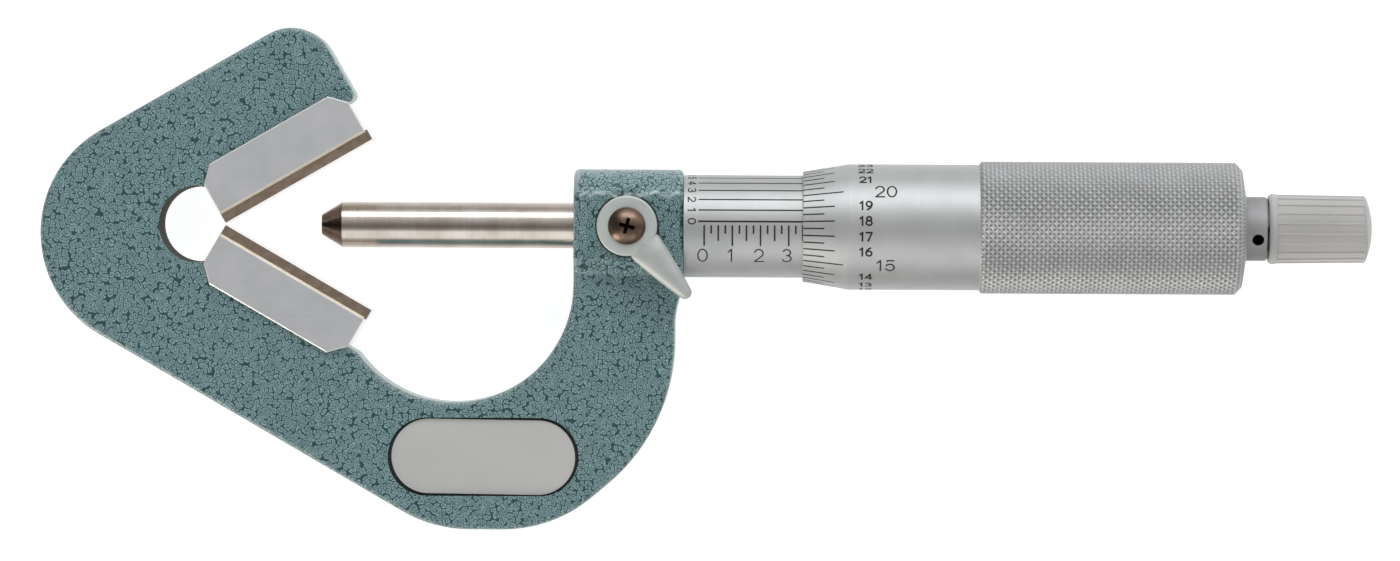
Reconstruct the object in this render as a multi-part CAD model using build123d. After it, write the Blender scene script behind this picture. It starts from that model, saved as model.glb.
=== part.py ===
from build123d import *
from math import asin, cos, degrees, radians, sin, sqrt
import os

# A micrometer with a V anvil, for tools with three flutes. Sizes are in millimetres.
# X is the measuring axis, the V opens towards +X and the front of the frame faces +Z.
# The origin is where the two V faces would meet, at half the frame's thickness.

inch = 25.4

# The V, the round tools that it takes, and the tool that it is set to at rest
v_half_angle = 30.0
smallest_tool = 0.093 * inch
largest_tool = 1.0 * inch
tool_diameter = 0.343 * inch

# Fits, and how far a cut runs past the face that it opens
set_fit = 0.01
running_fit = 0.05
face_gap = 0.05
cut_past = 1.0

# Anvil blocks and their carbide strips, measured along a V face and outwards from it
apex_gap = 0.3
block_length = 22.6
block_proud = 0.7
block_height = 6.5
block_chamfer = 2.1
block_edge = 0.15
strip_height = 1.5
strip_inset = 0.6
strip_overhang = 0.3

# Cast frame
frame_thickness = 9.0
arm_overrun = 1.27
upper_arm_out = 19.41
lower_arm_out = 21.48
heel_radius = 15.95
arm_tip_radius = 6.06
arm_lip_radius = 1.0
relief_radius = 5.1
relief_center_x = -3.62
throat_overrun = 1.57
throat_radius = 16.1
throat_center_y = -7.93
throat_lip_radius = 1.0
bottom_wall = 17.24
bottom_left_round = 2.1
bottom_right_round = 2.6
shoulder_slope = 40.0
shoulder_lead = 4.48
shoulder_rise = 5.97
shoulder_round = 9.1
neck_inset = 1.1
neck_flare_length = 5.0
neck_flare_gap = 0.3
cast_edge = 0.7

# Hub of the frame
hub_length = 14.9
hub_step = 0.75
hub_flat_depth = 1.45
hub_flat_round = 0.8
hub_blend = 2.0
hub_skirt = 1.0
boss_radius = 4.95
boss_height = 0.3
hub_face_wall = 3.1
stem_wall = 2.1

# Name plate
plate_length = 24.9
plate_width = 10.1
plate_thickness = 0.5
plate_setback = 12.1
plate_rise = 9.87
plate_turn = -0.7
recess_side_gap = 0.25
recess_end_gap = 0.5
recess_depth = 0.9

# Spindle
spindle_radius = 3.1
tip_radius = 1.375
nose_length = 2.8
carbide_length = 1.33
thread_step = 0.35
thread_clearance = 1.0
taper_step = 0.15
taper_drop = 0.7
taper_length = 4.7
taper_setback = 0.3

# Inner sleeve and its nut
guide_length = 11.0
inner_sleeve_clearance = 0.55
inner_sleeve_wall = 1.68
nut_thread_length = 18.0
nut_seat_length = 10.6
nut_seat_step = 0.48
nut_slit = 0.6
nut_slit_count = 3
nut_slit_length = 16.0
nut_clearance = 0.7
nut_length = 6.0
nut_notch_width = 1.2
nut_notch_depth = 1.0
nut_setback = 0.6
nut_gap = 6.3

# Scale sleeve
sleeve_wall = 1.22
sleeve_spare = 2.4
sleeve_zero_offset = 2.73
sleeve_hole_radius = 0.8
sleeve_hole_offset = 3.4

# Thimble
edge_lead = 0.37
edge_wall = 0.45
thimble_cone_length = 6.19
thimble_wall = 1.24
thimble_plain_length = 17.74
knurl_step = 0.46
knurl_chamfer = 0.92
knurl_entry = 0.4
thimble_end_length = 0.62
thimble_end_radius = 4.5
thimble_guide_length = 11.5
thimble_clearance = 0.35
thimble_floor_gap = 5.37

# Ratchet
collar_radius = 4.35
collar_length = 2.9
collar_edge = 0.25
spanner_hole_radius = 0.8
spanner_hole_depth = 2.4
spanner_hole_angle = -20.6
stud_radius = 1.5
stud_length = 8.0
axle_radius = 1.6
axle_flat = 1.2
bush_length = 3.3
bush_radius = 3.3
tooth_count = 12
tooth_width = 0.8
tooth_height = 0.3
tooth_gap = 0.03
pawl_step = 0.3
pawl_length = 2.0
spring_radius = 2.25
spring_wire = 0.22
spring_length = 2.9
spring_turns = 3.0
washer_step = 0.3
washer_thickness = 0.5
clip_radius = 2.4
clip_thickness = 0.45
clip_opening = 70.0
clip_groove_depth = 0.3
axle_tail = 0.9

# Ratchet knob
knob_front_gap = 0.15
knob_front_bevel = 0.35
knob_flange_radius = 4.8
knob_flange_length = 1.2
knob_shoulder = 0.2
knob_root_radius = 4.735
knob_end_radius = 4.575
knob_length = 14.1
knob_edge = 0.55
knob_dome = 0.75
knob_end_wall = 2.4
flute_count = 20
flute_radius = 1.5
flute_depth = 0.13
flute_end = 1.2
flute_end_round = 0.45
flute_phase = 15.0

# Lock lever
lock_offset = 7.29
lock_pitch = 0.75
lock_swing = 60.0
lever_angle = -49.6
lever_disc_radius = 4.085
lever_disc_thickness = 1.85
lever_disc_round = 0.2
lever_reach = 12.9
lever_root_radius = 2.2
lever_root_offset = 2.6
lever_tip_radius = 1.0
lever_arm_raise = 0.45
lever_arm_thickness = 1.7
lever_arm_round = 0.75
lock_stem_radius = 2.45
lock_post_step = 0.55
lock_post_setback = 0.25
lock_plug_length = 1.3
lock_screw_shank = 1.1
lock_stem_floor = 0.3
lock_screw_spare = 0.2
lock_screw_head_radius = 2.535
lock_screw_head_rim = 0.25
lock_screw_head_height = 1.45
cross_sink = 0.15
cross_arm = 1.25
cross_width = 0.5
cross_depth = 0.9
cross_turn = -15.0

def arm_point(along, out, side):
    # Along a V face from the apex, then outwards from it. Side is 1 above the axis, -1 below.
    angle = radians(v_half_angle)
    x = along * cos(angle) - out * sin(angle)
    y = along * sin(angle) + out * cos(angle)
    return (x, side * y)


# The spindle's travel from rest, down to the smallest tool and up to the largest
tip_per_diameter = (1 + 1 / sin(radians(v_half_angle))) / 2
closing_travel = (tool_diameter - smallest_tool) * tip_per_diameter
opening_travel = (largest_tool - tool_diameter) * tip_per_diameter

# Radii from the spindle outwards
thread_radius = spindle_radius + thread_step
stem_radius = spindle_radius + stem_wall
inner_sleeve_bore = thread_radius + inner_sleeve_clearance
inner_sleeve_radius = inner_sleeve_bore + inner_sleeve_wall
sleeve_radius = inner_sleeve_radius + running_fit + sleeve_wall
hub_radius = sleeve_radius + hub_step
thimble_guide_radius = sleeve_radius + running_fit
thimble_bore_radius = sleeve_radius + thimble_clearance
thimble_radius = thimble_bore_radius + thimble_wall
knurl_radius = thimble_radius + knurl_step
nut_seat_radius = inner_sleeve_radius - nut_seat_step
nut_radius = thimble_bore_radius - nut_clearance
taper_big_radius = thread_radius - taper_step
taper_small_radius = taper_big_radius - taper_drop

# The V's blocks and the throat, whose circle meets the lower arm just past its block
half_thickness = frame_thickness / 2
block_width = frame_thickness + 2 * block_proud
block_end = apex_gap + block_length
block_out = strip_height + block_height
block_lip = block_out - block_chamfer
arm_end = block_end + arm_overrun
throat_start = arm_point(block_end + throat_overrun, block_lip, -1)
throat_x = throat_start[0] + sqrt(throat_radius**2 - (throat_start[1] - throat_center_y) ** 2)
hub_start = throat_x + throat_radius
bottom_y = throat_center_y - throat_radius - bottom_wall

# Places along the measuring axis
tip_x = tool_diameter * tip_per_diameter
carbide_end_x = tip_x + carbide_length
hub_end = hub_start + hub_length
stem_front_x = hub_start + hub_face_wall
guide_end_x = stem_front_x + guide_length
thread_start_x = guide_end_x + closing_travel + thread_clearance
thimble_edge_x = hub_end + sleeve_zero_offset + tip_x + edge_lead
sleeve_end_x = thimble_edge_x + opening_travel + sleeve_spare
nut_start_x = sleeve_end_x + nut_gap
inner_sleeve_end = nut_start_x + nut_length + nut_setback
taper_start_x = inner_sleeve_end + closing_travel + thimble_floor_gap
taper_end_x = taper_start_x + taper_length
thimble_end_x = taper_end_x + taper_setback
cone_end_x = thimble_edge_x + thimble_cone_length
knurl_start_x = cone_end_x + thimble_plain_length
knurl_end_x = thimble_end_x - thimble_end_length - knurl_chamfer
collar_end_x = thimble_end_x + collar_length
bush_start_x = collar_end_x + tooth_gap
bush_end_x = bush_start_x + bush_length
pawl_end_x = bush_end_x + tooth_gap + pawl_length
spring_end_x = pawl_end_x + spring_length
clip_x = spring_end_x + face_gap + washer_thickness
clip_end_x = clip_x + clip_thickness
axle_end_x = clip_end_x + axle_tail
knob_start_x = collar_end_x + knob_front_gap
knob_end_x = knob_start_x + knob_length

# Places across the frame and up through the lock
blend_y = -sqrt((hub_radius + hub_blend) ** 2 - (half_thickness + hub_blend) ** 2)
hub_base_y = blend_y - hub_skirt
flare_y = hub_base_y - neck_flare_gap
lock_x = hub_start + lock_offset
hub_flat_z = hub_radius - hub_flat_depth
boss_top = hub_flat_z + boss_height
lock_travel = lock_pitch * lock_swing / 360
lever_bottom = boss_top + lock_travel + face_gap
lever_top = lever_bottom + lever_disc_thickness
plug_bottom = spindle_radius + running_fit + lock_travel
plug_top = plug_bottom + lock_plug_length
screw_hole_z = plug_top + lock_stem_floor


def arm_face(corners, side):
    return make_face(Polyline(*[arm_point(u, v, side) for u, v in corners], close=True))


def crossing(p, p_angle, q, q_angle):
    # Where two lines meet, each given by a point and a direction in degrees
    px, py = cos(radians(p_angle)), sin(radians(p_angle))
    qx, qy = cos(radians(q_angle)), sin(radians(q_angle))
    step = ((q[0] - p[0]) * qy - (q[1] - p[1]) * qx) / (px * qy - py * qx)
    return (p[0] + step * px, p[1] + step * py)


def turned(points):
    # Solid turned about the measuring axis from a closed outline of (x, radius)
    return revolve(make_face(Polyline(*points, close=True)), Axis.X, 360)


def along_x(radius, start, end):
    return turned([(start, 0), (end, 0), (end, radius), (start, radius)])


def tube_x(bore, radius, start, end):
    return turned([(start, bore), (end, bore), (end, radius), (start, radius)])


def upright(radius, low, high, x=0.0, y=0.0):
    return extrude(Plane((x, y, low)) * Circle(radius), high - low)


def slab(face, thickness):
    return extrude(face, thickness / 2, both=True)


def rounded(face, corner, radius):
    # The flat face with the corner nearest to a point rounded
    near = min(face.vertices(), key=lambda v: (v.X - corner[0]) ** 2 + (v.Y - corner[1]) ** 2)
    return fillet(near, radius)


def block_corners(inner):
    # A block's outline from its face towards the V, which lies at the height named inner
    return [
        (apex_gap, inner),
        (apex_gap, block_lip),
        (apex_gap + block_chamfer, block_out),
        (block_end - block_chamfer, block_out),
        (block_end, block_lip),
        (block_end, inner),
    ]


def make_block(side):
    block = slab(arm_face(block_corners(strip_height), side), block_width)
    sides = block.faces().sort_by(Axis.Z)
    return chamfer(sides[0].edges() + sides[-1].edges(), block_edge)


def make_strip(side):
    end = block_end + strip_overhang
    corners = [(apex_gap, 0), (apex_gap, strip_height), (end, strip_height), (end, 0)]
    return slab(arm_face(corners, side), block_width - 2 * strip_inset)


def body_outline():
    # The frame's flat outline, with the seats of the anvil blocks and the V left closed
    lip_start = block_end - block_chamfer
    upper_line = arm_point(0, upper_arm_out, 1)
    lower_line = arm_point(0, lower_arm_out, -1)
    floor = (0, bottom_y)
    shoulder = (hub_start + shoulder_lead, bottom_y + shoulder_rise)
    neck_x = hub_end - neck_inset
    heel = crossing(upper_line, v_half_angle, lower_line, -v_half_angle)
    arm_corner = arm_point(arm_end, upper_arm_out, 1)
    arm_lip = arm_point(arm_end, block_lip, 1)
    bottom_left = crossing(lower_line, -v_half_angle, floor, 0)
    bottom_right = crossing(floor, 0, shoulder, shoulder_slope)
    shoulder_top = crossing(shoulder, shoulder_slope, (neck_x, 0), 90)
    flare_top = (hub_end, flare_y)
    flare_low = (neck_x, flare_y - neck_flare_length)
    neck = Polyline(flare_top, (hub_end, 0), (hub_start, 0), (hub_start, throat_center_y))
    throat_floor = (throat_x, throat_center_y - throat_radius)
    throat = ThreePointArc((hub_start, throat_center_y), throat_floor, throat_start)
    sides = Polyline(
        throat_start,
        arm_point(lip_start, block_lip, -1),
        arm_point(lip_start, strip_height / 2, -1),
        (relief_center_x, 0),
        arm_point(lip_start, strip_height / 2, 1),
        arm_point(lip_start, block_lip, 1),
        arm_lip,
        arm_corner,
        heel,
        bottom_left,
        bottom_right,
        shoulder_top,
        flare_low,
    )
    flare = TangentArc(flare_low, flare_top, tangent=(0, 1))
    face = make_face(Curve() + [neck, throat, sides, flare])
    face = rounded(face, heel, heel_radius)
    face = rounded(face, arm_corner, arm_tip_radius)
    face = rounded(face, arm_lip, arm_lip_radius)
    face = rounded(face, throat_start, throat_lip_radius)
    face = rounded(face, shoulder_top, throat_radius + shoulder_round)
    face = rounded(face, bottom_right, throat_radius + bottom_right_round)
    return rounded(face, bottom_left, throat_radius + bottom_left_round)


def hub_section():
    # The hub seen along the measuring axis, blended into the slab of the frame
    corner_y = sqrt(hub_radius**2 - half_thickness**2)
    flat_y = sqrt(hub_radius**2 - hub_flat_z**2)
    above = Pos(0, hub_flat_z + hub_radius) * Rectangle(2 * hub_radius + cut_past, 2 * hub_radius)
    face = Circle(hub_radius) - above
    face += Pos(hub_base_y / 2, 0) * Rectangle(-hub_base_y, frame_thickness)
    for side in (1, -1):
        face = rounded(face, (-corner_y, side * half_thickness), hub_blend)
        face = rounded(face, (side * flat_y, hub_flat_z), hub_flat_round)
    return face


def is_body_edge(edge):
    # The front and back edges of the body's outline, but not those that the V takes away
    middle = edge @ 0.5
    angle = radians(v_half_angle)
    out = abs(middle.Y) * cos(angle) - middle.X * sin(angle)
    in_v = middle.X < throat_x and out < block_lip - set_fit
    on_face = abs(abs(middle.Z) - half_thickness) < set_fit
    return on_face and not in_v and abs(middle.Y) > set_fit


def is_hub_edge(edge):
    # The edges of the hub's two end faces, but not the one inside the body
    middle = edge @ 0.5
    at_end = min(abs(middle.X - hub_start), abs(middle.X - hub_end)) < set_fit
    return at_end and abs(middle.Y - hub_base_y) > set_fit


def make_frame():
    body = slab(body_outline(), frame_thickness)
    body = fillet(body.edges().filter_by(is_body_edge), cast_edge)
    hub = extrude(Plane.YZ.offset(hub_start) * hub_section(), hub_length)
    hub = fillet(hub.edges().filter_by(is_hub_edge), cast_edge)
    casting = body + hub + upright(boss_radius, half_thickness, boss_top, lock_x)
    for side in (1, -1):
        casting -= slab(arm_face(block_corners(-strip_height), side), 2 * frame_thickness)
    casting -= upright(relief_radius, -frame_thickness, frame_thickness, relief_center_x)
    casting -= along_x(spindle_radius + running_fit, hub_start - cut_past, stem_front_x + cut_past)
    casting -= along_x(stem_radius, stem_front_x, hub_end + cut_past)
    casting -= upright(lock_stem_radius + running_fit, 0, boss_top + cut_past, lock_x)
    recess = SlotOverall(plate_length + 2 * recess_end_gap, plate_width + 2 * recess_side_gap)
    floor = Plane((hub_start - plate_setback, bottom_y + plate_rise, half_thickness - recess_depth))
    return casting - extrude(floor * recess, recess_depth + cut_past)


def make_name_plate():
    floor = Plane((hub_start - plate_setback, bottom_y + plate_rise, half_thickness - recess_depth))
    plate = Rot(0, 0, plate_turn) * SlotOverall(plate_length, plate_width)
    return extrude(floor * plate, plate_thickness)


def nose_radius(x):
    # Radius of the tapered nose at a place along the axis
    return tip_radius + (spindle_radius - tip_radius) * (x - tip_x) / nose_length


def make_spindle_tip():
    end_radius = nose_radius(carbide_end_x)
    return turned([(tip_x, 0), (carbide_end_x, 0), (carbide_end_x, end_radius), (tip_x, tip_radius)])


def make_spindle():
    solid = turned([
        (carbide_end_x, 0),
        (carbide_end_x, nose_radius(carbide_end_x)),
        (tip_x + nose_length, spindle_radius),
        (thread_start_x, spindle_radius),
        (thread_start_x, thread_radius),
        (taper_start_x, thread_radius),
        (taper_start_x, taper_big_radius),
        (taper_end_x, taper_small_radius),
        (taper_end_x, 0),
    ])
    hole_start = thimble_end_x - stud_length - cut_past
    return solid - along_x(stud_radius + set_fit, hole_start, thimble_end_x)


def make_inner_sleeve():
    seat_x = inner_sleeve_end - nut_seat_length
    nut_x = inner_sleeve_end - nut_thread_length
    solid = turned([
        (stem_front_x, spindle_radius + running_fit),
        (stem_front_x, stem_radius - set_fit),
        (hub_end, stem_radius - set_fit),
        (hub_end, inner_sleeve_radius),
        (seat_x, inner_sleeve_radius),
        (seat_x, nut_seat_radius),
        (inner_sleeve_end, nut_seat_radius),
        (inner_sleeve_end, thread_radius + running_fit),
        (nut_x, thread_radius + running_fit),
        (nut_x, inner_sleeve_bore),
        (guide_end_x, inner_sleeve_bore),
        (guide_end_x, spindle_radius + running_fit),
    ])
    solid -= upright(lock_stem_radius + running_fit, 0, hub_radius, lock_x)
    slit = Box(nut_slit_length, nut_slit, inner_sleeve_radius, align=(Align.MAX, Align.CENTER, Align.MIN))
    for turn in range(nut_slit_count):
        solid -= Rot(360 / nut_slit_count * turn, 0, 0) * (Pos(inner_sleeve_end, 0, 0) * slit)
    return solid


def make_adjusting_nut():
    end_x = nut_start_x + nut_length
    ring = tube_x(nut_seat_radius + set_fit, nut_radius, nut_start_x, end_x)
    across = 2 * (nut_radius + cut_past)
    notch = Box(nut_notch_depth, across, nut_notch_width, align=(Align.MAX, Align.CENTER, Align.CENTER))
    return ring - Pos(end_x, 0, 0) * notch


def make_scale_sleeve():
    tube = tube_x(inner_sleeve_radius + running_fit, sleeve_radius, hub_end + face_gap, sleeve_end_x)
    hole_x = hub_end + sleeve_hole_offset
    return tube - upright(sleeve_hole_radius, -sleeve_radius - cut_past, 0, hole_x)


def make_thimble():
    guide_x = thimble_edge_x + thimble_guide_length
    slope = (taper_big_radius - taper_small_radius) / taper_length
    return turned([
        (thimble_edge_x, thimble_guide_radius),
        (thimble_edge_x, thimble_guide_radius + edge_wall),
        (cone_end_x, thimble_radius),
        (knurl_start_x, thimble_radius),
        (knurl_start_x + knurl_entry, knurl_radius),
        (knurl_end_x, knurl_radius),
        (knurl_end_x + knurl_chamfer, knurl_radius - knurl_chamfer),
        (thimble_end_x, thimble_end_radius),
        (thimble_end_x, taper_small_radius - slope * taper_setback + set_fit),
        (taper_start_x, taper_big_radius + set_fit),
        (taper_start_x, thimble_bore_radius),
        (guide_x, thimble_bore_radius),
        (guide_x, thimble_guide_radius),
    ])


def make_ratchet_shaft():
    groove_radius = axle_radius - clip_groove_depth
    stud_start = thimble_end_x - stud_length
    solid = turned([
        (stud_start, 0),
        (stud_start, stud_radius),
        (thimble_end_x, stud_radius),
        (thimble_end_x, collar_radius),
        (collar_end_x - collar_edge, collar_radius),
        (collar_end_x, collar_radius - collar_edge),
        (collar_end_x, axle_radius),
        (clip_x, axle_radius),
        (clip_x, groove_radius),
        (clip_end_x + face_gap, groove_radius),
        (clip_end_x + face_gap, axle_radius),
        (axle_end_x, axle_radius),
        (axle_end_x, 0),
    ])
    flat_start = bush_end_x - 2 * tooth_height
    across = 2 * (axle_radius + cut_past)
    flat = Box(axle_end_x - flat_start, across, axle_radius, align=(Align.MIN, Align.CENTER, Align.MIN))
    for turn in (0, 180):
        solid -= Rot(turn, 0, 0) * (Pos(flat_start, 0, axle_flat) * flat)
    hole = upright(spanner_hole_radius, collar_radius - spanner_hole_depth, collar_radius + cut_past)
    middle_x = (thimble_end_x + collar_end_x) / 2
    return solid - Rot(-spanner_hole_angle, 0, 0) * (Pos(middle_x, 0, 0) * hole)


def face_teeth(gap):
    # Ramped teeth that stand on the pawl's face, each smaller by the gap than the notch it meets
    low = -tooth_width / 2 + gap
    high = tooth_width / 2 - gap
    ramp = make_face(Polyline((0, low), (0, high), (gap - tooth_height, high), close=True))
    tooth = Pos(bush_end_x + gap, 0, 0) * extrude(ramp, bush_radius - pawl_step - gap)
    return [Rot(360 / tooth_count * turn, 0, 0) * tooth for turn in range(tooth_count)]


def make_ratchet_bush():
    solid = tube_x(axle_radius + running_fit, bush_radius, bush_start_x, bush_end_x)
    for notch in face_teeth(0):
        solid -= notch
    return solid


def make_ratchet_pawl():
    solid = along_x(bush_radius - pawl_step, bush_end_x + tooth_gap, pawl_end_x)
    for tooth in face_teeth(tooth_gap):
        solid += tooth
    fit_radius = axle_radius + running_fit
    bore = Circle(fit_radius) & Rectangle(2 * fit_radius, 2 * (axle_flat + running_fit))
    start_x = bush_end_x - tooth_height - cut_past
    return solid - extrude(Plane.YZ.offset(start_x) * bore, pawl_end_x - start_x + cut_past)


def make_click_spring():
    start_x = pawl_end_x + face_gap + spring_wire
    rise = spring_length - 2 * (face_gap + spring_wire)
    path = Helix(rise / spring_turns, rise, spring_radius)
    wire = Plane(path @ 0, z_dir=path % 0) * Circle(spring_wire)
    return Pos(start_x, 0, 0) * (Rot(0, 90, 0) * sweep(wire, path))


def make_spring_washer():
    bore = axle_radius + running_fit
    return tube_x(bore, bush_radius - washer_step, clip_x - washer_thickness, clip_x)


def make_retaining_clip():
    ring = tube_x(axle_radius - clip_groove_depth + running_fit, clip_radius, clip_x, clip_end_x)
    reach = clip_radius + cut_past
    half = reach * sin(radians(clip_opening / 2))
    gap = make_face(Polyline((0, 0), (-half, reach), (half, reach), close=True))
    return ring - extrude(Plane.YZ.offset(clip_x - cut_past) * gap, clip_thickness + 2 * cut_past)


def flute_cutter():
    # A rod that leans with the knob's taper and bites into its side
    start_x = knob_start_x + knob_flange_length
    run = knob_end_x - flute_end - start_x
    rod = along_x(flute_radius, 0, run)
    rod = fillet(rod.edges(), flute_end_round)
    lean = degrees(asin((knob_root_radius - knob_end_radius) / run))
    height = knob_root_radius + flute_radius - flute_depth
    return Pos(start_x, 0, height) * (Rot(0, lean, 0) * rod)


def make_ratchet_knob():
    dome_x = knob_end_x - knob_dome
    flange_x = knob_start_x + knob_flange_length
    chord = knob_end_radius - knob_edge
    side = Polyline(
        (knob_start_x, 0),
        (knob_start_x, knob_flange_radius - knob_front_bevel),
        (knob_start_x + knob_front_bevel, knob_flange_radius),
        (flange_x - knob_shoulder, knob_flange_radius),
        (flange_x, knob_root_radius),
        (dome_x - knob_edge, knob_end_radius),
        (dome_x, chord),
    )
    dome_radius = (chord**2 + knob_dome**2) / (2 * knob_dome)
    half_turn = asin(chord / dome_radius) / 2
    half_point = (knob_end_x - dome_radius * (1 - cos(half_turn)), dome_radius * sin(half_turn))
    dome = ThreePointArc((dome_x, chord), half_point, (knob_end_x, 0))
    base = Line((knob_end_x, 0), (knob_start_x, 0))
    solid = revolve(make_face(Curve() + [side, dome, base]), Axis.X, 360)
    cutter = flute_cutter()
    for turn in range(flute_count):
        solid -= Rot(flute_phase + 360 / flute_count * turn, 0, 0) * cutter
    return solid - along_x(bush_radius + set_fit, knob_start_x - cut_past, knob_end_x - knob_end_wall)


def make_lock_plug():
    # A pad as wide as the stem, hollowed to the spindle that it presses on
    plug = upright(lock_stem_radius, spindle_radius - cut_past, plug_top, lock_x)
    return plug - along_x(plug_bottom, lock_x - hub_radius, lock_x + hub_radius)


def make_lock_stem():
    solid = upright(lock_stem_radius, plug_top, lever_bottom, lock_x)
    post_radius = lock_stem_radius - lock_post_step
    solid += upright(post_radius, lever_bottom, lever_top - lock_post_setback, lock_x)
    return solid - upright(lock_screw_shank + set_fit, screw_hole_z, lever_top, lock_x)


def make_lock_lever():
    disc = upright(lever_disc_radius, lever_bottom, lever_top)
    disc = fillet(disc.edges().group_by(Axis.Z)[-1], lever_disc_round)
    root = Pos(lever_root_offset, 0) * Circle(lever_root_radius)
    tip = Pos(lever_reach - lever_tip_radius, 0) * Circle(lever_tip_radius)
    outline = make_hull((Sketch() + [root, tip]).edges())
    arm_low = lever_top + lever_arm_raise - lever_arm_thickness
    arm = extrude(Plane((0, 0, arm_low)) * outline, lever_arm_thickness)
    arm = fillet(arm.edges().group_by(Axis.Z)[-1], lever_arm_round)
    head_seat = upright(lock_screw_head_radius + face_gap, lever_top, lever_top + lever_arm_thickness)
    post_fit = lock_stem_radius - lock_post_step + set_fit
    bore = upright(post_fit, lever_bottom - cut_past, lever_top + cut_past)
    return Pos(lock_x, 0, 0) * (Rot(0, 0, lever_angle) * (disc + arm - head_seat - bore))


def make_lock_screw():
    top = lever_top + lock_screw_head_height
    rise = lock_screw_head_height - lock_screw_head_rim
    dome_radius = (lock_screw_head_radius**2 + rise**2) / (2 * rise)
    dome = Pos(0, 0, top - dome_radius) * Sphere(dome_radius)
    head = upright(lock_screw_head_radius, lever_top, top) & dome
    slot = Plane.XZ * make_face(Polyline(
        (-cross_arm, cut_past),
        (-cross_arm, 0),
        (-cross_width / 2, -cross_depth),
        (cross_width / 2, -cross_depth),
        (cross_arm, 0),
        (cross_arm, cut_past),
        close=True,
    ))
    for turn in (0, 90):
        head -= Pos(0, 0, top - cross_sink) * (Rot(0, 0, cross_turn + turn) * slab(slot, cross_width))
    shank = upright(lock_screw_shank, screw_hole_z + lock_screw_spare, lever_top)
    return Pos(lock_x, 0, 0) * (head + shank)


pieces = {
    "frame": make_frame,
    "anvil_block_upper": lambda: make_block(1),
    "anvil_block_lower": lambda: make_block(-1),
    "carbide_strip_upper": lambda: make_strip(1),
    "carbide_strip_lower": lambda: make_strip(-1),
    "name_plate": make_name_plate,
    "spindle_tip": make_spindle_tip,
    "spindle": make_spindle,
    "inner_sleeve": make_inner_sleeve,
    "adjusting_nut": make_adjusting_nut,
    "scale_sleeve": make_scale_sleeve,
    "thimble": make_thimble,
    "ratchet_shaft": make_ratchet_shaft,
    "ratchet_bush": make_ratchet_bush,
    "ratchet_pawl": make_ratchet_pawl,
    "click_spring": make_click_spring,
    "spring_washer": make_spring_washer,
    "retaining_clip": make_retaining_clip,
    "ratchet_knob": make_ratchet_knob,
    "lock_plug": make_lock_plug,
    "lock_stem": make_lock_stem,
    "lock_lever": make_lock_lever,
    "lock_screw": make_lock_screw,
}

os.makedirs("parts", exist_ok=True)
for name, make in pieces.items():
    export_step(make(), f"parts/{name}.step")
print("tip at", round(tip_x, 3), "thimble edge at", round(thimble_edge_x, 3), "end at", round(knob_end_x, 3))
print("travel", round(closing_travel, 4), round(opening_travel, 4), "lock", round(lock_travel, 4))
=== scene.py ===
import math
import bpy
import numpy as np
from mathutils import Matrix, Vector


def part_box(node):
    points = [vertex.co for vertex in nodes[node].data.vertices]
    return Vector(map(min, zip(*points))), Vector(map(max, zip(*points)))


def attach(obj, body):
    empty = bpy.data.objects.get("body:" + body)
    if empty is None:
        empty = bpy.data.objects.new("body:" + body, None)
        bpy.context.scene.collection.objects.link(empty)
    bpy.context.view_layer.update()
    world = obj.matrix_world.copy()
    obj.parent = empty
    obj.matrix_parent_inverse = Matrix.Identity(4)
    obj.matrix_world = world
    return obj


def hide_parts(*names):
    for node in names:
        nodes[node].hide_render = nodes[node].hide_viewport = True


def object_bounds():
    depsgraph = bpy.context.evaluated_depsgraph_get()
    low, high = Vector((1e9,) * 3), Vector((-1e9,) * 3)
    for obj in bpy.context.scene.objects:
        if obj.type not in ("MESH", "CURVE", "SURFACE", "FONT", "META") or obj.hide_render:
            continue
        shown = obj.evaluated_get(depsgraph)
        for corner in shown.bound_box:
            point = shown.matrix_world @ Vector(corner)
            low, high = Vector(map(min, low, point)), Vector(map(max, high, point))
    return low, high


# A micrometer with a V anvil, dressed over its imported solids. Scene units are metres,
# the dictionaries below give millimetres, and mm turns one into the other.
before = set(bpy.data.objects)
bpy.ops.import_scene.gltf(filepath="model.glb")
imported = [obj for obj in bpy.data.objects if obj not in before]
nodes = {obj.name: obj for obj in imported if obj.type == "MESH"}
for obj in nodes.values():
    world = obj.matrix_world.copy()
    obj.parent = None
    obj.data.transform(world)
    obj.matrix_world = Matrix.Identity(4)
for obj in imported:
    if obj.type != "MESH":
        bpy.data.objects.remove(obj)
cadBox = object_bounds()
scene = bpy.context.scene
mm = 0.001
print("frame loaded:", len(nodes), "nodes")


def toLinear(hexColour):
    # an sRGB hex colour as the linear one that shaders work in
    channel = np.array([int(hexColour[i:i + 2], 16) for i in (1, 3, 5)]) / 255
    linear = np.where(channel <= 0.04045, channel / 12.92, ((channel + 0.055) / 1.055) ** 2.4)
    return (*linear.tolist(), 1.0)


def fillInputs(tree, node, inputs):
    # sets a node's inputs to values, or links them from sockets
    for key, value in inputs.items():
        if isinstance(value, bpy.types.NodeSocket):
            tree.links.new(value, node.inputs[key])
        else:
            node.inputs[key].default_value = value


def addNode(tree, kind, inputs=None, stops=None, **settings):
    # one shader node: settings are its properties, inputs are values or sockets to link from,
    # and stops are the places and colours of a ramp
    node = tree.nodes.new(kind)
    for name, value in settings.items():
        setattr(node, name, value)
    fillInputs(tree, node, inputs or {})
    if stops:
        ramp = node.color_ramp.elements
        while len(ramp) < len(stops):
            ramp.new(0.5)
        for element, (place, colour) in zip(ramp, stops):
            element.position = place
            element.color = toLinear(colour)
    return node


# Short forms of addNode, each of which gives the socket that comes out
def maths(tree, operation, *values):
    return addNode(tree, "ShaderNodeMath", dict(enumerate(values)), operation=operation).outputs[0]


def vectors(tree, operation, *values):
    inputs = dict(enumerate(values))
    return addNode(tree, "ShaderNodeVectorMath", inputs, operation=operation).outputs[0]


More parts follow.
